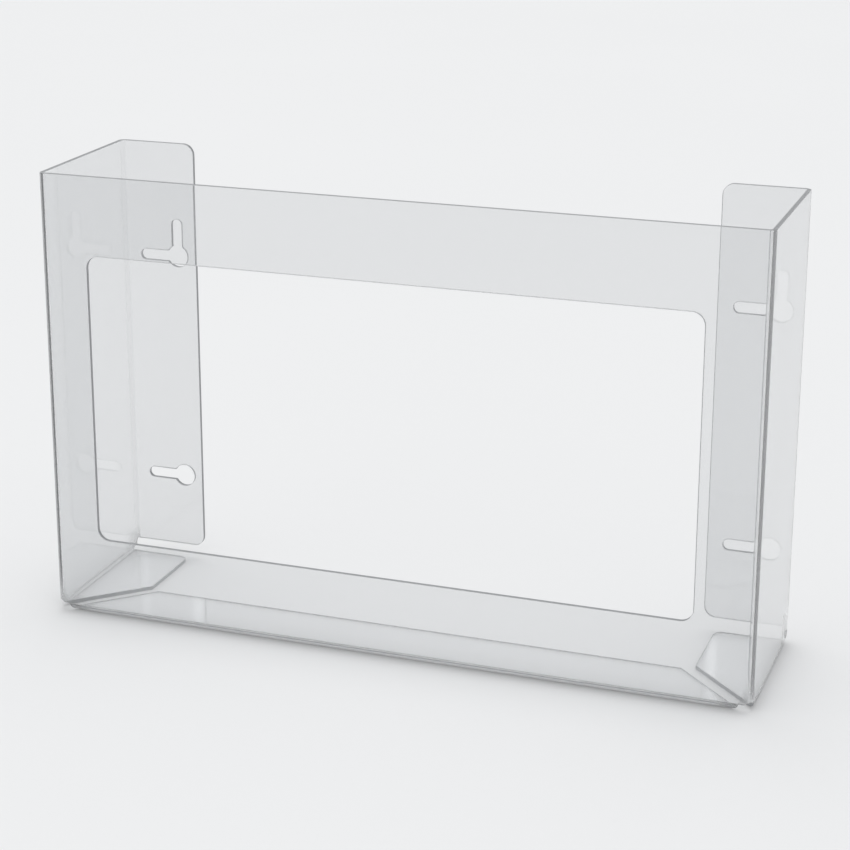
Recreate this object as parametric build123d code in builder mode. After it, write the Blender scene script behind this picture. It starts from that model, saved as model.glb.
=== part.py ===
from build123d import *
from math import cos, radians
import os

# Wall dispenser for disposable-glove boxes, cut from one clear sheet and folded.
# Three boxes stand in it side by side, and the gloves are drawn out through the front window.
# Millimetres. X runs along the front, the front faces -Y, and Z is up from the base.
# The origin is at the centre of the footprint, on the surface that the dispenser stands on.

# Outside size of the folded sheet
overall_width = 400.0
overall_depth = 100.0
overall_height = 254.0

# Sheet and its bends
sheet = 2.4
bend_radius = 3.6

# Front window: its left end, its sill, its opening and its corners
window_from_left = 27.4
window_sill = 45.5
window_width = 340.0
window_height = 164.5
window_corner = 7.0

# Two flanges folded inwards at the rear, which lie against the wall
flange_width = 46.7
flange_lift = 7.8
flange_corner = 6.35

# Bottom flap, folded back from the front panel
flap_depth = 38.0
flap_setback = 7.4

# Bottom tabs, folded inwards from the side walls
tab_width = 39.0
tab_setback = 4.6
tab_rear_gap = 7.8
tab_corner = 4.8
mitre_corner = 1.5

# Reliefs that keep the folds from tearing
front_relief_radius = 4.0
rear_relief_radius = 4.2

# Keyholes in the flanges: the screw head enters the bore, the shank slides along a slot
bore_diameter = 13.0
slot_width = 6.35
side_slot_reach = 20.0
up_slot_reach = 19.0
left_bore_from_side = 35.3
right_bore_from_side = 14.8
lower_bore_height = 52.0
upper_bore_height = 187.4

# Faces and lines that the features share
left_face = -overall_width / 2
right_face = overall_width / 2
front_face = -overall_depth / 2
rear_face = overall_depth / 2
bend_top = bend_radius
leg_top = 2 * bend_radius
flap_edge = front_face + flap_depth
tab_rear_edge = rear_face - tab_rear_gap
tab_front_edge = front_face + tab_setback
tab_inner_edge = right_face - tab_width
mitre_end = tab_front_edge + tab_width
flange_inner_edge = right_face - flange_width
flap_end = right_face - flap_setback
side_bend = right_face - bend_radius
rear_bend = rear_face - bend_radius
relief_inset = rear_relief_radius - bend_radius * cos(radians(45))
left_bore = left_face + left_bore_from_side
right_bore = right_face - right_bore_from_side
upper_bores = ((left_bore, upper_bore_height), (right_bore, upper_bore_height))
lower_bores = ((left_bore, lower_bore_height), (right_bore, lower_bore_height))
same_place = 0.001


def across_edges(from_centre):
    """Edges that run from front to rear at one distance to either side of the centre."""
    return folded_sheet.edges().filter_by(Axis.Y).filter_by(
        lambda edge: abs(abs(edge.center().X) - from_centre) < same_place
    )


def upright_edges(from_centre, depth):
    """Upright edges at one place in plan, and their mirror images."""
    return folded_sheet.edges().filter_by(Axis.Z).filter_by(
        lambda edge: abs(abs(edge.center().X) - from_centre) < same_place
        and abs(edge.center().Y - depth) < same_place
    )


with BuildPart() as folded_sheet:
    # Upright strip: half of the front panel, a side wall and its rear flange, then the mirror image
    with BuildSketch(Plane.XY.offset(bend_top)) as upright_section:
        with BuildLine() as right_half:
            FilletPolyline(
                (0, front_face),
                (right_face, front_face),
                (right_face, rear_face),
                (flange_inner_edge, rear_face),
                radius=bend_radius,
            )
            offset(amount=sheet, side=Side.LEFT)
        make_face()
        mirror(about=Plane.YZ)
    extrude(amount=overall_height - bend_top)

    # Bottom flap: its bend and its flat, drawn from the side and run along the front
    with BuildSketch(Plane.YZ) as flap_section:
        with BuildLine() as flap_line:
            FilletPolyline(
                (front_face, leg_top),
                (front_face, 0),
                (flap_edge, 0),
                radius=bend_radius,
            )
            offset(amount=sheet, side=Side.LEFT)
        make_face()
    extrude(amount=flap_end, both=True)

    # Right tab: its bend and its flat, drawn from the front and run back, then the mirror image
    with BuildSketch(Plane.XZ.offset(-rear_bend)) as tab_section:
        with BuildLine() as tab_line:
            FilletPolyline(
                (right_face, leg_top),
                (right_face, 0),
                (tab_inner_edge, 0),
                radius=bend_radius,
            )
            offset(amount=sheet, side=Side.RIGHT)
        make_face()
        mirror(about=Plane.YZ)
    extrude(amount=rear_bend - tab_front_edge)

    # Mitre gaps: a 45-degree strip cut from each front corner, between the flap's end and the tab's
    with BuildSketch(Plane.XY) as mitre_gaps:
        with BuildLine() as mitre_gap:
            Polyline(
                (right_face, front_face),
                (right_face, tab_front_edge),
                (tab_inner_edge, mitre_end),
                (tab_inner_edge - flap_setback - tab_setback, mitre_end),
                (flap_end, front_face),
                close=True,
            )
        make_face()
        mirror(about=Plane.YZ)
    extrude(amount=bend_top, mode=Mode.SUBTRACT)

    # The tabs stop short of the rear, and the flanges stop short of the base
    with BuildSketch(Plane.XY) as tab_ends:
        with BuildLine() as tab_end:
            Polyline(
                (side_bend, tab_rear_edge),
                (side_bend, rear_bend),
                (tab_inner_edge, rear_bend),
                (tab_inner_edge, tab_rear_edge),
                close=True,
            )
        make_face()
        mirror(about=Plane.YZ)
    extrude(amount=sheet, mode=Mode.SUBTRACT)

    with BuildSketch(Plane.XZ.offset(-rear_face)) as flange_ends:
        with BuildLine() as flange_end:
            Polyline(
                (side_bend, bend_top),
                (side_bend, flange_lift),
                (flange_inner_edge, flange_lift),
                (flange_inner_edge, bend_top),
                close=True,
            )
        make_face()
        mirror(about=Plane.YZ)
    extrude(amount=sheet, mode=Mode.SUBTRACT)

    # Rear reliefs: a round cut through each upright bend and each bottom bend, at 45 degrees,
    # which starts at the wall's corner and runs into the edge of the flange or the tab
    for side in (-1, 1):
        upright_bend = Plane(
            origin=(side * side_bend, rear_bend, flange_lift - rear_relief_radius),
            x_dir=(-side, 1, 0),
            z_dir=(side, 1, 0),
        )
        bottom_bend = Plane(
            origin=(side * side_bend, tab_rear_edge + rear_relief_radius, bend_top),
            x_dir=(-side, 0, -1),
            z_dir=(side, 0, -1),
        )
        for bend in (upright_bend, bottom_bend):
            with BuildSketch(bend):
                with Locations((relief_inset, 0)):
                    Circle(rear_relief_radius)
            extrude(amount=bend_radius, mode=Mode.SUBTRACT)

    # Front reliefs: a round cut where the two folds and the mitre meet
    with Locations(
        (right_face - sheet / 2, front_face + sheet / 2, sheet / 2),
        (left_face + sheet / 2, front_face + sheet / 2, sheet / 2),
    ):
        Sphere(front_relief_radius, mode=Mode.SUBTRACT)

    # Rounded free corners of the flanges, the tabs and the flap
    fillet(across_edges(flange_inner_edge), radius=flange_corner)
    fillet(upright_edges(tab_inner_edge, tab_rear_edge), radius=tab_corner)
    fillet(upright_edges(tab_inner_edge, mitre_end), radius=mitre_corner)
    fillet(upright_edges(flap_end - flap_depth, flap_edge), radius=mitre_corner)

    # Front window
    with BuildSketch(Plane.XZ.offset(-front_face)) as window:
        with Locations((left_face + window_from_left, window_sill)):
            RectangleRounded(window_width, window_height, window_corner, align=(Align.MIN, Align.MIN))
    extrude(amount=-sheet, mode=Mode.SUBTRACT)

    # Keyholes: every bore has a slot to the left, and the upper two have one going up as well
    with BuildSketch(Plane.XZ.offset(-rear_face)) as keyholes:
        with Locations(*upper_bores, *lower_bores):
            Circle(bore_diameter / 2)
            with Locations((-side_slot_reach / 2, 0)):
                SlotCenterToCenter(side_slot_reach, slot_width)
        with Locations(*upper_bores):
            with Locations((0, up_slot_reach / 2)):
                SlotCenterToCenter(up_slot_reach, slot_width, rotation=90)
    extrude(amount=sheet, mode=Mode.SUBTRACT)

os.makedirs("parts", exist_ok=True)
folded_sheet.part.label = "folded_sheet"
export_step(folded_sheet.part, "parts/folded_sheet.step")
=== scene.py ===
# %% [markdown]
# # A wall dispenser for boxes of disposable gloves
# Three boxes of gloves stand side by side in this holder, and a hand reaches them through the window.
# It is one sheet of clear plastic, cut to a flat blank and then folded: a front, two side walls,
# two rear flanges with keyholes for screws, a flap under the boxes and two tabs beside the flap.
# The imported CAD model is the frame. Everything below is placed in that frame, in metres.

# %% Load the frame
from math import cos, pi, radians, sin

import bpy
import numpy as np
from mathutils import Matrix, Vector
from mathutils.geometry import delaunay_2d_cdt


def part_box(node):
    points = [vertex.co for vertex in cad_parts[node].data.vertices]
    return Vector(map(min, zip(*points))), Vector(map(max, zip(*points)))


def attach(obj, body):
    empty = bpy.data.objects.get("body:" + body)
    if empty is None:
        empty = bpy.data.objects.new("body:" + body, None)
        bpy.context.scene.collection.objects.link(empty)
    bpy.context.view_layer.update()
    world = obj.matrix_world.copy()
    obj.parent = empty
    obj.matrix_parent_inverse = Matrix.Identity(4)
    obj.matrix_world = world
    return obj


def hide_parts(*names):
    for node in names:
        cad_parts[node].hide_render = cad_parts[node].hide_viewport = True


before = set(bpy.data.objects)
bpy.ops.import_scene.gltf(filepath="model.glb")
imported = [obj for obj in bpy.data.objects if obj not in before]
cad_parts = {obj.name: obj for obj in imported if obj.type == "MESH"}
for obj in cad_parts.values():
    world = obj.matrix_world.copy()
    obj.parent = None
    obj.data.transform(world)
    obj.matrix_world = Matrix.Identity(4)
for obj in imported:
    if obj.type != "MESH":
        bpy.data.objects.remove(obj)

bpy.context.view_layer.update()
print("CAD nodes:", sorted(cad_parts))

# %% [markdown]
# ## The sizes of the blank
# A folded sheet is easiest to describe flat, as the workshop does. The sizes are the CAD model's own,
# in millimetres: the outside comes from the CAD node's box, and the rest repeats its named values.
# Along a bend the flat length is measured on the middle of the sheet, which neither stretches nor shrinks.

# %% Sizes in millimetres
MM = 0.001
box_low, box_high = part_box("folded_sheet")
width, depth, height = (round(v / MM, 3) for v in box_high - box_low)
sheet = 2.4
bend_radius = 3.6
window_from_left, window_sill = 27.4, 45.5
window_width, window_height, window_corner = 340.0, 164.5, 7.0
flange_width, flange_lift, flange_corner = 46.7, 7.8, 6.35
flap_depth, flap_setback = 38.0, 7.4
tab_width, tab_setback, tab_rear_gap, tab_corner, mitre_corner = 39.0, 4.6, 7.8, 4.8, 1.5
front_relief_radius, rear_relief_radius = 4.0, 4.2
bore_radius, slot_radius, side_slot_reach, up_slot_reach = 6.5, 3.175, 20.0, 19.0
left_bore_from_side, right_bore_from_side = 35.3, 14.8
lower_bore_height, upper_bore_height = 52.0, 187.4

middle_radius = bend_radius - sheet / 2
bend_length = middle_radius * pi / 2
front_end = width / 2 - bend_radius
wall_start = front_end + bend_length
wall_end = wall_start + depth - 2 * bend_radius
flange_start = wall_end + bend_length
flange_end = flange_start + flange_width - bend_radius
bottom_start = bend_radius - bend_length
flap_edge = bottom_start - (flap_depth - bend_radius)
tab_edge = bottom_start - (tab_width - bend_radius)
print("Outside size, mm:", width, depth, height)
print("Flat blank, mm:", round(2 * flange_end, 1), "by", round(height - tab_edge, 1))

# %% [markdown]
# ## The outline of the blank
# The cutter follows one closed line round the blank, and then cuts the window and the keyholes.
# The line could be drawn by hand with a curve, but then its bends wouldn't fall on the folds.
# Here each stretch is an array of points: straight runs, round corners, and the reliefs at the corners
# of the folds, where a little material is cut away so that the sheet doesn't tear.

# %% Helpers for lines in the flat
RUN = 16.0
BEND_ROWS = 14
CORNER_STEPS = 12


def run(start, end, spacing=RUN):
    """Points from start to end, both included, at even steps of about one spacing."""
    start, end = np.array(start, float), np.array(end, float)
    count = max(2, int(np.hypot(*(end - start)) / spacing) + 2)
    return start + np.linspace(0.0, 1.0, count)[:, None] * (end - start)


def corner(before, at, after, radius, steps=CORNER_STEPS):
    """The arc of one radius that touches both sides of a corner: centre plus radius times (cos, sin)."""
    at = np.array(at, float)
    side_in = np.array(before, float) - at
    side_out = np.array(after, float) - at
    side_in /= np.hypot(*side_in)
    side_out /= np.hypot(*side_out)
    half = np.arccos(side_in @ side_out) / 2
    centre = at + (side_in + side_out) / np.hypot(*(side_in + side_out)) * radius / np.sin(half)
    reach = radius / np.tan(half)
    first = at + side_in * reach - centre
    last = at + side_out * reach - centre
    turn = np.arctan2(first[0] * last[1] - first[1] * last[0], first @ last)
    angles = np.arctan2(first[1], first[0]) + np.linspace(0.0, turn, steps + 1)
    return centre + radius * np.stack([np.cos(angles), np.sin(angles)], axis=1)


def columns(start, end):
    """Distances along the blank from start to end: even steps on flats, BEND_ROWS rows on each bend."""
    flats = [np.linspace(0, front_end, 13), np.linspace(wall_start, wall_end, 7),
             np.linspace(flange_start, flange_end, 4)]
    bends = [np.linspace(front_end, wall_start, BEND_ROWS + 1),
             np.linspace(wall_end, flange_start, BEND_ROWS + 1)]
    every = np.unique(np.round(np.concatenate(flats + bends), 6))
    low, high = min(start, end), max(start, end)
    inside = every[(every > low + 1e-3) & (every < high - 1e-3)]
    row = np.concatenate([[low], inside, [high]])
    return row if end > start else row[::-1]


def relief(angles):
    """Height of a rear relief above the wall's corner, at an angle round the bend: the relief is a circle
    seen at 45 degrees, so the root of its radius squared less the distance across its centre squared."""
    inset = rear_relief_radius - bend_radius * cos(radians(45))
    across = bend_radius * np.sin(angles - radians(45)) - inset
    return np.sqrt(rear_relief_radius ** 2 - across ** 2)


bend_angles = np.linspace(0, pi / 2, BEND_ROWS + 1)
bend_heights = bend_radius - middle_radius * bend_angles

# %% The right half of the outline, from the top centre round to the flap's centre
tab_rear = wall_end - (tab_rear_gap - bend_radius)
tab_front = wall_start + tab_setback - bend_radius
tab_tip = wall_start + tab_setback + tab_width - bend_radius
flap_start = width / 2 - flap_setback
flap_tip = flap_start - flap_depth
round_fold = bend_radius * (1 - np.cos(bend_angles))

top_columns = columns(0, flange_end - flange_corner)[:-1]
top_edge = np.stack([top_columns, np.full(len(top_columns), height)], axis=1)
flange_top = corner((0, height), (flange_end, height), (flange_end, 0), flange_corner)
flange_side = run(flange_top[-1], (flange_end, flange_lift + flange_corner))[1:-1]
flange_foot = corner((flange_end, height), (flange_end, flange_lift), (0, flange_lift), flange_corner)
foot_columns = columns(flange_end - flange_corner, flange_start)[1:-1]
foot_edge = np.stack([foot_columns, np.full(len(foot_columns), flange_lift)], axis=1)
rear_angles = bend_angles[::-1]
rear_relief = np.stack([wall_end + middle_radius * rear_angles, bend_radius + relief(rear_angles)], axis=1)
tab_relief = np.stack([wall_end - relief(bend_angles), bend_heights], axis=1)
rear_relief[-1] = (wall_end, bend_radius)
tab_rear_side = run((tab_rear, bottom_start), (tab_rear, tab_edge + tab_corner))[1:-1]
tab_round = corner((tab_rear, 0), (tab_rear, tab_edge), (0, tab_edge), tab_corner)
tab_side = run((tab_rear - tab_corner, tab_edge), (tab_tip + mitre_corner, tab_edge))[1:-1]
tab_mitre_round = corner((tab_rear, tab_edge), (tab_tip, tab_edge),
                         (wall_start + tab_setback, bottom_start), mitre_corner)
tab_mitre = run(tab_mitre_round[-1], (wall_start + tab_setback, bottom_start))[1:-1]
tab_bend = np.stack([tab_front + round_fold[::-1], bend_heights[::-1]], axis=1)


def front_relief(distances):
    """Height of the front relief where the folded sheet passes it. The relief is a ball about the middle of
    the sheet's corner: half the sheet plus the root of the ball's radius squared less the squares of the
    distances across and back from its centre."""
    angle = np.clip((distances - front_end) / middle_radius, 0, pi / 2)
    from_side = bend_radius * (1 - np.sin(angle)) + np.maximum(front_end - distances, 0)
    from_front = bend_radius * (1 - np.cos(angle)) + np.maximum(distances - wall_start, 0)
    flat = (from_side - sheet / 2) ** 2 + (from_front - sheet / 2) ** 2
    return sheet / 2 + np.sqrt(front_relief_radius ** 2 - flat)


ball_reach = sheet / 2 + np.sqrt(
    front_relief_radius ** 2 - (sheet / 2) ** 2 - (bend_radius - sheet / 2) ** 2)
relief_start = wall_start + ball_reach - bend_radius
relief_end = width / 2 - ball_reach
corner_columns = columns(relief_start, relief_end)
corner_relief = np.stack([corner_columns, front_relief(corner_columns)], axis=1)
flap_bend = np.stack([flap_start - round_fold, bend_heights], axis=1)
flap_mitre_round = corner(flap_bend[-1], (flap_tip, flap_edge), (0, flap_edge), mitre_corner)
flap_mitre = run(flap_bend[-1], flap_mitre_round[0])[1:-1]
flap_columns = columns(flap_mitre_round[-1][0], 0)[1:-1]
flap_side = np.stack([flap_columns, np.full(len(flap_columns), flap_edge)], axis=1)

right_half = np.concatenate([
    top_edge, flange_top, flange_side, flange_foot, foot_edge, rear_relief, tab_relief[1:], tab_rear_side,
    tab_round, tab_side, tab_mitre_round, tab_mitre, tab_bend, corner_relief, flap_bend, flap_mitre,
    flap_mitre_round, flap_side, [[0.0, flap_edge]],
])
left_half = (right_half * (-1, 1))[1:-1][::-1]
outline = np.concatenate([right_half, left_half])[::-1]
print("Outline points:", len(outline))

# %% [markdown]
# ## The window and the keyholes
# The window is a rounded rectangle. A keyhole is a round bore that a screw's head goes through, joined to
# a narrow slot that its shank slides along. All four have a slot to the left, and the upper two also have
# one going up, so the dispenser can be hung from above or slid on from the side.

# %% Window and keyhole outlines, which run the other way round from the outer one
BORE_STEP = 0.16
SLOT_STEPS = 18


def window_outline():
    """A rounded rectangle, clockwise, as four runs and four arcs."""
    left, right = window_from_left - width / 2, window_from_left + window_width - width / 2
    low, high = window_sill, window_sill + window_height
    points = [(left, low), (left, high), (right, high), (right, low)]
    parts = []
    for i in range(4):
        before, at, after = points[i - 1], points[i], points[(i + 1) % 4]
        arc = corner(before, at, after, window_corner)
        following = corner(at, after, points[(i + 2) % 4], window_corner)
        parts += [arc, run(arc[-1], following[0])[1:-1]]
    return np.concatenate(parts)


def slot_end(centre, direction, radius, steps=SLOT_STEPS):
    """A half circle, clockwise, that closes a slot running in one direction from the bore."""
    angles = direction + pi / 2 - np.linspace(0, pi, steps + 1)
    return np.array(centre) + radius * np.stack([np.cos(angles), np.sin(angles)], axis=1)


def bore_arc(centre, start, end, steps):
    """Part of the bore's circle, clockwise, between two angles."""
    angles = np.linspace(start, end, steps + 1)
    return np.array(centre) + bore_radius * np.stack([np.cos(angles), np.sin(angles)], axis=1)


def keyhole(side, bore_x, bore_z, has_up_slot):
    """One keyhole in the flat: a bore, a slot to the finished piece's left, and one going up where there
    is one. Both flanges are folded over, so on both the finished left is where the blank's distance
    grows. The slot and the bore meet at the angle whose sine is the slot's radius over the bore's."""
    neck = np.arcsin(slot_radius / bore_radius)
    centre = np.array((side * (flange_start + width / 2 - bend_radius - abs(bore_x)), bore_z))
    slots = [(0.0, side_slot_reach)] + ([(-1.5 * pi, up_slot_reach)] if has_up_slot else [])
    following = [angle for angle, reach in slots[1:]] + [-2 * pi]
    parts = []
    for (angle, reach), next_angle in zip(slots, following):
        tip = centre + reach * np.array((cos(angle), sin(angle)))
        start, end = angle - neck, next_angle + neck
        steps = int((start - end) / BORE_STEP) + 4
        parts += [slot_end(tip, angle, slot_radius), bore_arc(centre, start, end, steps)]
    return np.concatenate(parts)


left_x, right_x = left_bore_from_side - width / 2, width / 2 - right_bore_from_side
holes = [window_outline()]
for side, bore_x in ((-1, left_x), (1, right_x)):
    for bore_z, has_up_slot in ((upper_bore_height, True), (lower_bore_height, False)):
        holes.append(keyhole(side, bore_x, bore_z, has_up_slot))
print("Holes:", len(holes), "with points:", [len(h) for h in holes])

# %% [markdown]
# ## From the outline to a mesh
# A fill made by hand would leave long thin faces across the folds. Instead the blank is filled with
# triangles between the cut lines and rows of points on every fold, so that each fold becomes a smooth arc.
# The filled sheet is used twice, for the outer and the inner face, and a narrow strip round every cut
# joins the two. The strip's two long edges are eased by a fifth of a millimetre, as a polished cut is.

# %% Fill the flat blank
EASED = 0.2
CLEAR_OF_CUT = 2.0


def cut_side(loop):
    """Unit vectors in the flat that point away from the material, at each point of a loop with the
    material on its left: the mean of the two neighbouring sides' right-hand normals, kept at full offset."""
    ahead = np.roll(loop, -1, axis=0) - loop
    ahead /= np.linalg.norm(ahead, axis=1)[:, None]
    behind = np.roll(ahead, 1, axis=0)
    right_hand = (ahead + behind) @ np.array([[0.0, -1.0], [1.0, 0.0]])
    unit = right_hand / np.linalg.norm(right_hand, axis=1)[:, None]
    own = ahead @ np.array([[0.0, -1.0], [1.0, 0.0]])
    return unit, 1 / np.clip((unit * own).sum(axis=1), 0.5, 1.0)


def inside(points, loops):
    """True where a ray from the point crosses the loops an odd number of times."""
    crossings = np.zeros(len(points), int)
    for loop in loops:
        start, end = loop, np.roll(loop, -1, axis=0)
        spans = (start[:, 1] > points[:, 1:2]) != (end[:, 1] > points[:, 1:2])
        rise = np.where(start[:, 1] == end[:, 1], 1.0, end[:, 1] - start[:, 1])
        at = start[:, 0] + (points[:, 1:2] - start[:, 1]) / rise * (end[:, 0] - start[:, 0])
        crossings += (spans & (points[:, 0:1] < at)).sum(axis=1)
    return crossings % 2 == 1


def distance_to(points, loops):
    """Shortest distance from each point to any side of the loops."""
    nearest = np.full(len(points), np.inf)
    for loop in loops:
        side = np.roll(loop, -1, axis=0) - loop
        along = ((points[:, None] - loop) * side).sum(axis=2) / (side ** 2).sum(axis=1)
        foot = loop + np.clip(along, 0, 1)[..., None] * side
        nearest = np.minimum(nearest, np.linalg.norm(points[:, None] - foot, axis=2).min(axis=1))
    return nearest


loops = [outline] + holes
eased_loops, cut_normals = [], []
for loop in loops:
    unit, stretch = cut_side(loop)
    cut_normals.append(unit)
    eased_loops.append(loop - unit * (stretch * EASED)[:, None])

across = columns(0, flange_end)
across = np.concatenate([-across[:0:-1], across])
up = np.concatenate([np.linspace(flap_edge, bottom_start, 4)[:-1], bend_heights[::-1],
                     np.linspace(bend_radius, height, 15)[1:-1]])
grid = np.stack(np.meshgrid(across, up, indexing="ij"), axis=2)
flat_grid = grid.reshape(-1, 2)
kept = inside(flat_grid, eased_loops) & (distance_to(flat_grid, eased_loops) > CLEAR_OF_CUT)
order = np.where(kept, np.cumsum(kept) - 1, -1).reshape(grid.shape[:2])

edge_count = sum(len(loop) for loop in loops)
flat_points = np.concatenate(eased_loops + [flat_grid[kept]])
fixed_edges, first = [], 0
for loop in loops:
    own = np.arange(first, first + len(loop))
    fixed_edges.append(np.stack([own, np.roll(own, -1)], axis=1))
    first += len(loop)
for start, end in ((order[:, :-1], order[:, 1:]), (order[:-1, :], order[1:, :])):
    pair = np.stack([start.ravel(), end.ravel()], axis=1)
    fixed_edges.append(pair[(pair >= 0).all(axis=1)] + edge_count)
fixed_edges = np.concatenate(fixed_edges)
filled = delaunay_2d_cdt([Vector(p) for p in flat_points.tolist()], fixed_edges.tolist(), [], 0, 1e-5)
found = np.array([source[0] for source in filled[3]])
triangles = found[np.array(filled[2])]
middles = flat_points[triangles].mean(axis=1)
triangles = triangles[inside(middles, eased_loops)]
print("Flat points:", len(flat_points), "after filling:", len(found), "triangles:", len(triangles))

# %% [markdown]
# ## Folding
# Blender could fold the sheet with bones or a bend modifier, but a fold has an exact rule. A point of the
# blank has three numbers: the distance along it, the height up it and the depth into the sheet. The rule
# first rolls the foot of the blank inwards, then wraps the whole strip round the front, wall and flange.

# %% The fold, as a formula


def fold(flat, into):
    """Folds points of the blank, given in millimetres as (along, up) and a depth into the sheet.
    First the foot: above the bend a point stays where it is; in the bend it goes round an arc of
    radius minus depth; past it, the height becomes the distance inwards. Then the strip: the middle line
    is straight, arc, straight, arc, straight, and the point stands off it along the inward normal.
    Returns the places and the local directions along, up and into the sheet."""
    side = np.where(flat[:, 0] < 0, -1.0, 1.0)
    along, up = np.abs(flat[:, 0]), flat[:, 1]
    foot = np.clip((bend_radius - up) / middle_radius, 0, pi / 2)
    past = np.maximum(bottom_start - up, 0)
    z = np.maximum(up, bend_radius) - (bend_radius - into) * np.sin(foot)
    inward = bend_radius - (bend_radius - into) * np.cos(foot) + past
    first_turn = np.clip((along - front_end) / middle_radius, 0, pi / 2)
    second_turn = np.clip((along - wall_end) / middle_radius, 0, pi / 2)
    wall = np.clip(along - wall_start, 0, wall_end - wall_start)
    flange = np.maximum(along - flange_start, 0)
    turn = first_turn + second_turn
    wrapped = np.sin(first_turn) - 1 + np.cos(second_turn)
    x = np.minimum(along, front_end) + middle_radius * wrapped - flange
    y = (sheet - depth) / 2 + middle_radius * (1 - np.cos(first_turn) + np.sin(second_turn)) + wall
    x -= (inward - sheet / 2) * np.sin(turn)
    y += (inward - sheet / 2) * np.cos(turn)
    zero = np.zeros_like(x)
    towards = np.stack([-side * np.sin(turn), np.cos(turn), zero], axis=1)
    direction_up = np.stack([zero, zero, np.cos(foot)], axis=1) - towards * np.sin(foot)[:, None]
    direction_in = np.stack([zero, zero, np.sin(foot)], axis=1) + towards * np.cos(foot)[:, None]
    direction_along = np.stack([np.cos(turn), side * np.sin(turn), zero], axis=1)
    return np.stack([side * x, y, z], axis=1) * MM, direction_along, direction_up, direction_in


outer, _, _, outer_in = fold(flat_points, 0.0)
inner, _, _, inner_in = fold(flat_points, sheet)
cut_flat = np.concatenate(loops)
cut_normal = np.concatenate(cut_normals)
cut_outer, cut_along, cut_up, cut_in = fold(cut_flat, EASED)
cut_inner = fold(cut_flat, sheet - EASED)[0]
cut_facing = cut_along * cut_normal[:, :1] + cut_up * cut_normal[:, 1:]

# %% Build the mesh: two faces of the sheet and the strip round every cut
inner_first = len(outer)
cut_outer_first = inner_first + len(inner)
cut_inner_first = cut_outer_first + len(cut_outer)
places = np.concatenate([outer, inner, cut_outer, cut_inner])
facing = np.concatenate([-outer_in, inner_in, cut_facing, cut_facing])
facing /= np.linalg.norm(facing, axis=1)[:, None]

this, following, first = [], [], 0
for loop in loops:
    own = np.arange(first, first + len(loop))
    this.append(own)
    following.append(np.roll(own, -1))
    first += len(loop)
this, following = np.concatenate(this), np.concatenate(following)
strips = []
for near, far in ((0, cut_outer_first), (cut_outer_first, cut_inner_first), (cut_inner_first, inner_first)):
    strips.append(np.stack([this + near, this + far, following + far, following + near], axis=1))
strips = np.concatenate(strips)
faces = [triangles, triangles[:, ::-1] + inner_first, strips]

mesh = bpy.data.meshes.new("folded_clear_sheet")
corners = np.concatenate([part.ravel() for part in faces])
sizes = np.concatenate([np.full(len(part), part.shape[1]) for part in faces])
mesh.vertices.add(len(places))
mesh.vertices.foreach_set("co", places.astype(np.float32).ravel())
mesh.loops.add(len(corners))
mesh.loops.foreach_set("vertex_index", corners.astype(np.int32))
mesh.polygons.add(len(sizes))
mesh.polygons.foreach_set("loop_start", (np.cumsum(sizes) - sizes).astype(np.int32))
mesh.update(calc_edges=True)
mesh.polygons.foreach_set("use_smooth", np.ones(len(sizes), bool))
mesh.normals_split_custom_set_from_vertices(facing.astype(np.float32))
print("Mesh problems found:", mesh.validate(verbose=True))

tri = np.concatenate([faces[0], faces[1], strips[:, [0, 1, 2]], strips[:, [0, 2, 3]]])
a, b, c = places[tri[:, 0]], places[tri[:, 1]], places[tri[:, 2]]
volume = np.einsum("ij,ij->i", a, np.cross(b, c)).sum() / 6
print("Volume, cubic mm:", round(volume / MM ** 3), "triangles:", len(tri))

# %% [markdown]
# ## The clear plastic
# Clear sheet lets light through, bends it a little and mirrors a little of it. A glass shader does that,
# but a clean one looks like a computer's glass. The real sheet is faintly wavy from the rolls that made it,
# has a soft bloom of tiny scratches, and turns grey where one looks along it, because the light has a
# longer way through the plastic. The cut edges are darker and rougher than the faces. Some light and shade
# is painted too. The lying flap and tabs are tinted lighter than the upright faces, to make up for the shade
# on the floor under them. The cut edges of the upright faces are tinted darker than the lying ones, to make
# up for the sky light on the wall tops. A fine dark line is painted along the front bends, where a bend's
# refraction draws one. A painted image could show where all this is, but the mesh already knows,
# so each point carries four marks, and the material reads them as attributes.

# %% Mark the cut edges, the upright faces, the folds and a painted dark line along the front bends
REAR_RELIEF_SHADE, FRONT_RELIEF_SHADE = 0.25, 0.35
PAINTED_LINE_ROW = 2

edge_along, edge_up = np.abs(cut_flat[:, 0]), cut_flat[:, 1]
at_rear_relief = (edge_along > wall_end - rear_relief_radius) & (edge_up < flange_lift - 0.1) \
    & (edge_up > bottom_start)
at_front_relief = (edge_along > relief_end - 0.5) & (edge_along < relief_start + 0.5) \
    & (np.abs(edge_up - bend_radius) < bend_radius + front_relief_radius)
edge_shade = np.ones(len(cut_flat))
edge_shade[at_rear_relief] = REAR_RELIEF_SHADE
edge_shade[at_front_relief] = FRONT_RELIEF_SHADE
on_cut = np.zeros(len(places))
on_cut[cut_outer_first:] = np.tile(edge_shade, 2)

into_sheet = np.concatenate([outer_in, inner_in, cut_in, cut_in])
upright = 1 - np.abs(into_sheet[:, 2])
all_flat = np.concatenate([flat_points, flat_points, cut_flat, cut_flat])
along_all, up_all = np.abs(all_flat[:, 0]), all_flat[:, 1]
in_fold = ((along_all > front_end + 1e-6) & (along_all < wall_start - 1e-6)) \
    | ((along_all > wall_end + 1e-6) & (along_all < flange_start - 1e-6)) \
    | ((up_all < bend_radius - 1e-6) & (up_all > bottom_start + 1e-6))

bend_step = bend_length / BEND_ROWS
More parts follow.
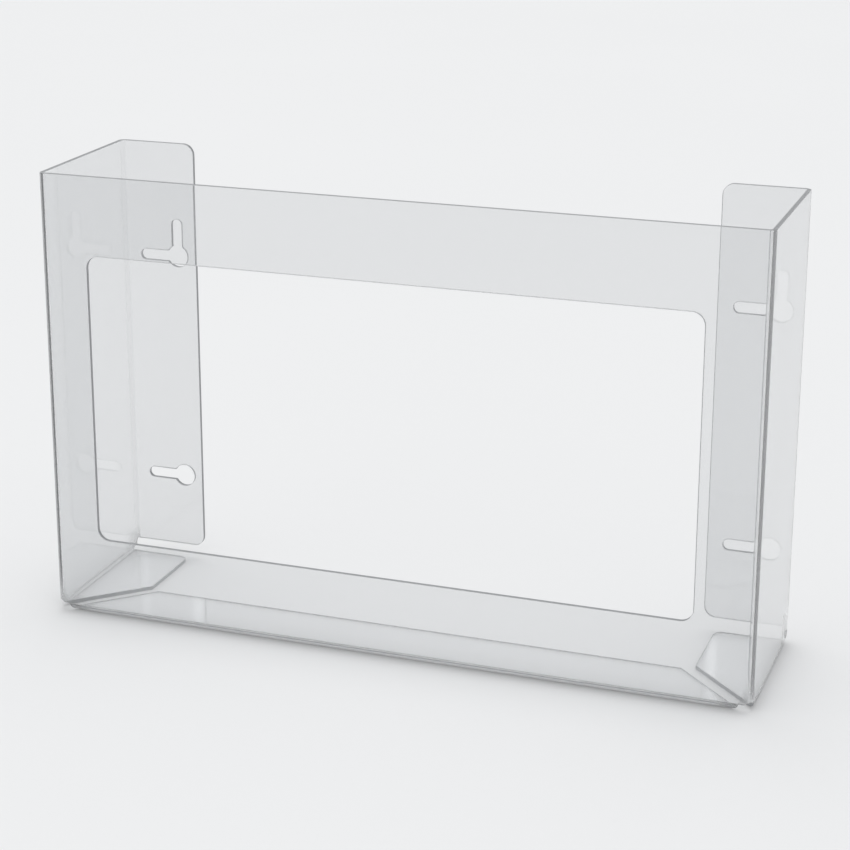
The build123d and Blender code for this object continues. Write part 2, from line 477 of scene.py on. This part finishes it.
# Painted shade: a dark line on the outer face, two rows into each front bend from the front face, where a
# bend's refraction draws a dark line.
from_side_line = np.abs(along_all - (front_end + PAINTED_LINE_ROW * bend_step))
from_foot_line = np.abs(up_all - (bend_radius - PAINTED_LINE_ROW * bend_step))
from_foot_line += (along_all > front_end) * bend_step
from_line = np.minimum(from_side_line, from_foot_line) / bend_step
painted_bend_shade_amount = np.where(into_sheet[:, 2] ** 2 < 0.5, np.clip(1 - from_line, 0, 1), 0.0)
painted_bend_shade_amount[len(outer):] = 0.0

for name, values in (("cut_edge", on_cut), ("upright", upright), ("fold", in_fold * 1.0),
                     ("painted_bend_shade", painted_bend_shade_amount)):
    mark = mesh.attributes.new(name, "FLOAT", "POINT")
    mark.data.foreach_set("value", values.astype(np.float32))
print("Points on cut edges:", int((on_cut > 0).sum()), "of", len(on_cut))

# %% Helpers for materials


def adder(tree):
    """Empties a node tree and gives a function that adds a node to it."""
    tree.nodes.clear()

    def add(kind, **values):
        """Adds a node, sets its own properties, and then its inputs by name or number."""
        node = tree.nodes.new(kind)
        inputs = values.pop("inputs", {})
        for key, value in values.items():
            setattr(node, key, value)
        for key, value in inputs.items():
            if isinstance(value, bpy.types.NodeSocket):
                tree.links.new(value, node.inputs[key])
            else:
                node.inputs[key].default_value = value
        return node

    return add


def new_material(name):
    """A material with an empty node tree, and the function that adds a node to it."""
    material = bpy.data.materials.new(name)
    material.use_nodes = True
    return material, adder(material.node_tree)


def blend(add, amount, first, second, kind="RGBA"):
    """Goes from the first value to the second as the amount goes from 0 to 1."""
    node = add("ShaderNodeMix", data_type=kind, inputs={"Factor": amount, "A": first, "B": second})
    return node.outputs["Result"]


def part_of(add, amount, low, high):
    """Maps a number between 0 and 1 onto a range of its own."""
    spread = add("ShaderNodeMapRange", inputs={"Value": amount, "To Min": low, "To Max": high})
    return spread.outputs["Result"]


def either(add, first, second):
    """The larger of two numbers, which for yes-or-no numbers means either of them."""
    return add("ShaderNodeMath", operation="MAXIMUM", inputs={0: first, 1: second}).outputs[0]


# %% The clear sheet: its marks and its noise
FOOT_LOW, FOOT_HIGH = 0.002, 0.016
WAVE_SCALE, HAZE_SCALE, SAW_SCALE = 14.0, 55.0, 1500.0

clear_sheet, add = new_material("clear_sheet")
where = add("ShaderNodeTexCoord").outputs["Object"]
cut_edge, upright_face, fold_mark, painted_bend_shade = (
    add("ShaderNodeAttribute", attribute_name=name).outputs["Fac"]
    for name in ("cut_edge", "upright", "fold", "painted_bend_shade"))
height_here = add("ShaderNodeSeparateXYZ", inputs={"Vector": where}).outputs["Z"]
foot_range = add("ShaderNodeMapRange", inputs={
    "Value": height_here, "From Min": FOOT_LOW, "From Max": FOOT_HIGH})
above_foot = foot_range.outputs["Result"]
roll_waves = add("ShaderNodeTexNoise", inputs={
    "Vector": where, "Scale": WAVE_SCALE, "Detail": 1.0, "Roughness": 0.4})
haze = add("ShaderNodeTexNoise", inputs={
    "Vector": where, "Scale": HAZE_SCALE, "Detail": 4.0, "Roughness": 0.6})
saw_marks = add("ShaderNodeTexNoise", inputs={"Vector": where, "Scale": SAW_SCALE, "Detail": 2.0})

# %% [markdown]
# ## Two helps for the light
# A path tracer finds a lamp through glass only by chance, so a clear sheet would cast the shadow of a board.
# That is why a ray that looks for a lamp, or that comes off a matt surface, meets a thin filter instead of
# the glass. The filter is darker at the folds, at the cuts and at the foot, where a real sheet spreads
# the light aside. The other help is inside the sheet. Light that runs along it bounces very often, and
# the renderer gives up after a few bounces, which paints the bends black. From the third bounce
# the plastic is partly matt, so this light comes back grey, as it does from a real bend.

# %% The clear sheet: its surface, seen directly
# The lying tint is lighter than the upright one. This is painted light that makes up for the shade on the
# floor under the flap and the tabs.
LYING_TINT_PAINTED_LIGHTER, UPRIGHT_TINT = (0.978, 0.983, 0.988, 1.0), (0.88, 0.885, 0.89, 1.0)
# The cut tints are the rough cut edge's own grey. The upright one is also painted darker, as shade that
# makes up for the sky light on the upward-facing wall tops.
LYING_CUT_GREY_WITH_PAINTED_LIGHT, UPRIGHT_CUT_GREY_WITH_PAINTED_SHADE = (0.46, 0.47, 0.48, 1.0), (0.30, 0.31, 0.32, 1.0)
# Painted shade: the tint of the dark line that a bend's refraction draws along the front bends.
PAINTED_BEND_SHADE_TINT = (0.30, 0.31, 0.32, 1.0)
FACE_ROUGHNESS, CUT_ROUGHNESS = (0.01, 0.035), (0.25, 0.5)
CLEAR_FACE, CLEAR_FOLD, CLEAR_FOLD_AT_FOOT, CLEAR_CUT = 0.96, 0.88, 0.45, 0.25
CLEAR_WHEN_TRAPPED, CLEAR_WHEN_TRAPPED_AT_FOOT = 0.78, 0.1
BOUNCES_BEFORE_TRAPPED = 2.5

roughness = blend(add, cut_edge, part_of(add, haze.outputs["Fac"], *FACE_ROUGHNESS),
                  part_of(add, saw_marks.outputs["Fac"], *CUT_ROUGHNESS), kind="FLOAT")
ray = add("ShaderNodeLightPath")
trapped = add("ShaderNodeMath", operation="GREATER_THAN",
              inputs={0: ray.outputs["Glossy Depth"], 1: BOUNCES_BEFORE_TRAPPED})
clear_fold = part_of(add, above_foot, CLEAR_FOLD_AT_FOOT, CLEAR_FOLD)
clear_face = blend(add, trapped.outputs[0], part_of(add, fold_mark, CLEAR_FACE, clear_fold),
                   part_of(add, above_foot, CLEAR_WHEN_TRAPPED_AT_FOOT, CLEAR_WHEN_TRAPPED), kind="FLOAT")
seen_through = blend(add, cut_edge, clear_face, CLEAR_CUT, kind="FLOAT")
# Painted light: the lying faces take a lighter tint than the upright ones.
face_tint_with_painted_light = blend(add, upright_face, LYING_TINT_PAINTED_LIGHTER, UPRIGHT_TINT)
# Painted shade: the dark line along the front bends.
colour_with_painted_bend_shade = blend(add, painted_bend_shade, face_tint_with_painted_light, PAINTED_BEND_SHADE_TINT)
# Cut edges take their own grey, with painted shade on the upright ones and painted light on the lying ones.
colour = blend(add, cut_edge, colour_with_painted_bend_shade, blend(add, upright_face, LYING_CUT_GREY_WITH_PAINTED_LIGHT, UPRIGHT_CUT_GREY_WITH_PAINTED_SHADE))
waves = add("ShaderNodeBump", inputs={
    "Strength": 0.06, "Distance": 0.0012, "Height": roll_waves.outputs["Fac"]})
marks = add("ShaderNodeMath", operation="MULTIPLY", inputs={0: saw_marks.outputs["Fac"], 1: cut_edge})
surface = add("ShaderNodeBump", inputs={
    "Strength": 0.35, "Distance": 0.0001, "Height": marks.outputs[0], "Normal": waves.outputs["Normal"]})
plastic = add("ShaderNodeBsdfPrincipled", inputs={
    "Base Color": colour, "Roughness": roughness, "IOR": 1.57, "Transmission Weight": seen_through,
    "Normal": surface.outputs["Normal"]})
inside_sheet = add("ShaderNodeVolumeAbsorption", inputs={"Color": (0.45, 0.47, 0.49, 1.0), "Density": 5.0})

# %% The clear sheet: how it lets light by
LYING_PASSES, UPRIGHT_PASSES = (0.995, 0.995, 0.995, 1.0), (0.922, 0.925, 0.928, 1.0)
UPRIGHT_FOOT_PASSES = (0.3, 0.3, 0.3, 1.0)
FOLD_PASSES, FOLD_FOOT_PASSES = (0.6, 0.605, 0.61, 1.0), (0.42, 0.42, 0.42, 1.0)

from_lamp = either(add, ray.outputs["Is Shadow Ray"], ray.outputs["Is Diffuse Ray"])
upright_passes = blend(add, above_foot, UPRIGHT_FOOT_PASSES, UPRIGHT_PASSES)
passed = blend(add, either(add, fold_mark, cut_edge),
               blend(add, upright_face, LYING_PASSES, upright_passes),
               blend(add, above_foot, FOLD_FOOT_PASSES, FOLD_PASSES))
let_by = add("ShaderNodeBsdfTransparent", inputs={"Color": passed})
whole = add("ShaderNodeMixShader", inputs={
    0: from_lamp, 1: plastic.outputs["BSDF"], 2: let_by.outputs["BSDF"]})
add("ShaderNodeOutputMaterial", inputs={
    "Surface": whole.outputs["Shader"], "Volume": inside_sheet.outputs["Volume"]})
print("Clear sheet nodes:", len(clear_sheet.node_tree.nodes))

# %% Put the sheet in the scene in place of the CAD solid
mesh.materials.append(clear_sheet)
dispenser = bpy.data.objects.new("folded_clear_sheet", mesh)
bpy.context.scene.collection.objects.link(dispenser)
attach(dispenser, "root")
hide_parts("folded_sheet")
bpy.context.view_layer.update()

# %% [markdown]
# ## The floor
# Clear plastic shows mostly what is behind it, so the floor's tone sets the tone of the whole picture.
# A curved backdrop would do, but a wide pale floor that runs on behind the dispenser is simpler, and
# it keeps the soft shadow under the flap. It lies a hair under the sheet, so the two never share a plane.

# %% The floor
FLOOR_REACH = 9.0
FLOOR_DROP = 0.0002
FLOOR_TONES = (0.83, 0.833, 0.837, 1.0), (0.85, 0.853, 0.857, 1.0)
floor_corners = np.array([(-1, -1), (1, -1), (1, 1), (-1, 1)]) * FLOOR_REACH
floor_mesh = bpy.data.meshes.new("floor")
floor_mesh.from_pydata([(x, y, -FLOOR_DROP) for x, y in floor_corners.tolist()], [], [(0, 1, 2, 3)])
floor = bpy.data.objects.new("floor", floor_mesh)
bpy.context.scene.collection.objects.link(floor)

floor_cloth, add = new_material("floor_cloth")
where = add("ShaderNodeTexCoord").outputs["Object"]
tone = add("ShaderNodeTexNoise", inputs={"Vector": where, "Scale": 2.0, "Detail": 2.0})
tint = blend(add, tone.outputs["Fac"], *FLOOR_TONES)
matt = add("ShaderNodeBsdfPrincipled", inputs={
    "Base Color": tint, "Roughness": 0.9, "Specular IOR Level": 0.1})
add("ShaderNodeOutputMaterial", inputs={"Surface": matt.outputs["BSDF"]})
floor_mesh.materials.append(floor_cloth)
print("Floor, metres across:", 2 * FLOOR_REACH)

# %% [markdown]
# ## The camera
# The dispenser is seen from a little to the right and a little above, with a long lens.
# The lens is shifted slightly, as the picture is framed a little off the lens's axis.

# %% The camera
AZIMUTH, ELEVATION, ROLL = radians(20.564), radians(17.256), radians(-0.228)
PICTURE, FOCAL_PIXELS, CENTRE_X, CENTRE_Y = 850.0, 2221.88, 375.93, 377.08
SENSOR = 36.0
CAMERA_PLACE = (0.38442, -1.08862, 0.50363)

forward = Vector((-sin(AZIMUTH) * cos(ELEVATION), cos(AZIMUTH) * cos(ELEVATION), -sin(ELEVATION)))
level = Vector((cos(AZIMUTH), sin(AZIMUTH), 0.0))
upward = level.cross(forward)
right = cos(ROLL) * level + sin(ROLL) * upward
upward = cos(ROLL) * upward - sin(ROLL) * level

lens = bpy.data.cameras.new("camera")
lens.sensor_width = SENSOR
lens.lens = FOCAL_PIXELS / PICTURE * SENSOR
lens.shift_x = (PICTURE / 2 - CENTRE_X) / PICTURE
lens.shift_y = (CENTRE_Y - PICTURE / 2) / PICTURE
camera = bpy.data.objects.new("camera", lens)
bpy.context.scene.collection.objects.link(camera)
camera.matrix_world = Matrix.Translation(CAMERA_PLACE) @ Matrix(
    (right, upward, -forward)).transposed().to_4x4()
bpy.context.scene.camera = camera
bpy.context.scene.view_settings.view_transform = "Standard"
print("Lens, mm:", round(lens.lens, 2), "shift:", round(lens.shift_x, 4), round(lens.shift_y, 4))

# %% [markdown]
# ## Light
# A bright even room does most of the work, so nothing is in a hard shadow. Seen straight or through the
# sheet, the room has nearly the floor's tone, so the floor has no hard end. A wide sky light from behind
# gives the shadow its direction, and a soft box at the left gives the bends something to mirror. Three
# narrow upright lights stand far behind, where the flap and the tabs mirror them as pale streaks.
# A picture of a studio could light the scene too, but lamps with plain sizes are easier to move.

# %% The room
ROOM_LIGHT, ROOM_SEEN = (0.70, 0.705, 0.71, 1.0), (0.85, 0.855, 0.86, 1.0)

world = bpy.data.worlds.new("studio")
world.use_nodes = True
add = adder(world.node_tree)
ray = add("ShaderNodeLightPath")
seen = either(add, ray.outputs["Is Camera Ray"], ray.outputs["Is Transmission Ray"])
tone = blend(add, seen, ROOM_LIGHT, ROOM_SEEN)
room = add("ShaderNodeBackground", inputs={"Color": tone, "Strength": 1.0})
add("ShaderNodeOutputWorld", inputs={"Surface": room.outputs["Background"]})
bpy.context.scene.world = world

# %% The sky light and the soft box
AIM = (0.0, 0.0, 0.1)
SKY_FROM = Vector((-0.13, 0.42, 1.0))
SKY_WIDTH = radians(50)


def soft_box(name, place, size, watts):
    """A square area light at one place, turned towards the aim."""
    light = bpy.data.lights.new(name, "AREA")
    light.shape = "SQUARE"
    light.size = size
    light.energy = watts
    lamp = bpy.data.objects.new(name, light)
    bpy.context.scene.collection.objects.link(lamp)
    towards = Vector(AIM) - Vector(place)
    lamp.matrix_world = Matrix.Translation(place) @ towards.to_track_quat("-Z", "Y").to_matrix().to_4x4()
    return lamp


sky = bpy.data.lights.new("sky_light", "SUN")
sky.energy = 1.1
sky.angle = SKY_WIDTH
sky_lamp = bpy.data.objects.new("sky_light", sky)
bpy.context.scene.collection.objects.link(sky_lamp)
sky_lamp.matrix_world = (-SKY_FROM).to_track_quat("-Z", "Y").to_matrix().to_4x4()
soft_box("soft_box_left", place=(-2.0, -1.0, 1.1), size=1.2, watts=1.0)

# %% The strip lights
STRIP_AWAY, STRIP_UP, STRIP_TALL = 4.6, 2.3, 2.6


def strip_light(name, angle, wide, brightness):
    """An upright light far behind. From the camera it stands at an angle, in degrees, to the left of
    straight back: across by distance times the angle's tangent. The camera itself doesn't see it.
    Its power is pi times its area times its brightness."""
    across = -STRIP_AWAY * np.tan(radians(angle))
    place = Vector((CAMERA_PLACE[0] + across, CAMERA_PLACE[1] + STRIP_AWAY, STRIP_UP))
    lamp = soft_box(name, place, wide, pi * wide * STRIP_TALL * brightness)
    lamp.data.shape = "RECTANGLE"
    lamp.data.size_y = STRIP_TALL
    lamp.visible_camera = False
    return lamp


strip_light("strip_light_left", angle=26.8, wide=0.014, brightness=0.5)
strip_light("strip_light_middle", angle=25.42, wide=0.023, brightness=0.65)
strip_light("strip_light_right", angle=11.42, wide=0.021, brightness=0.85)
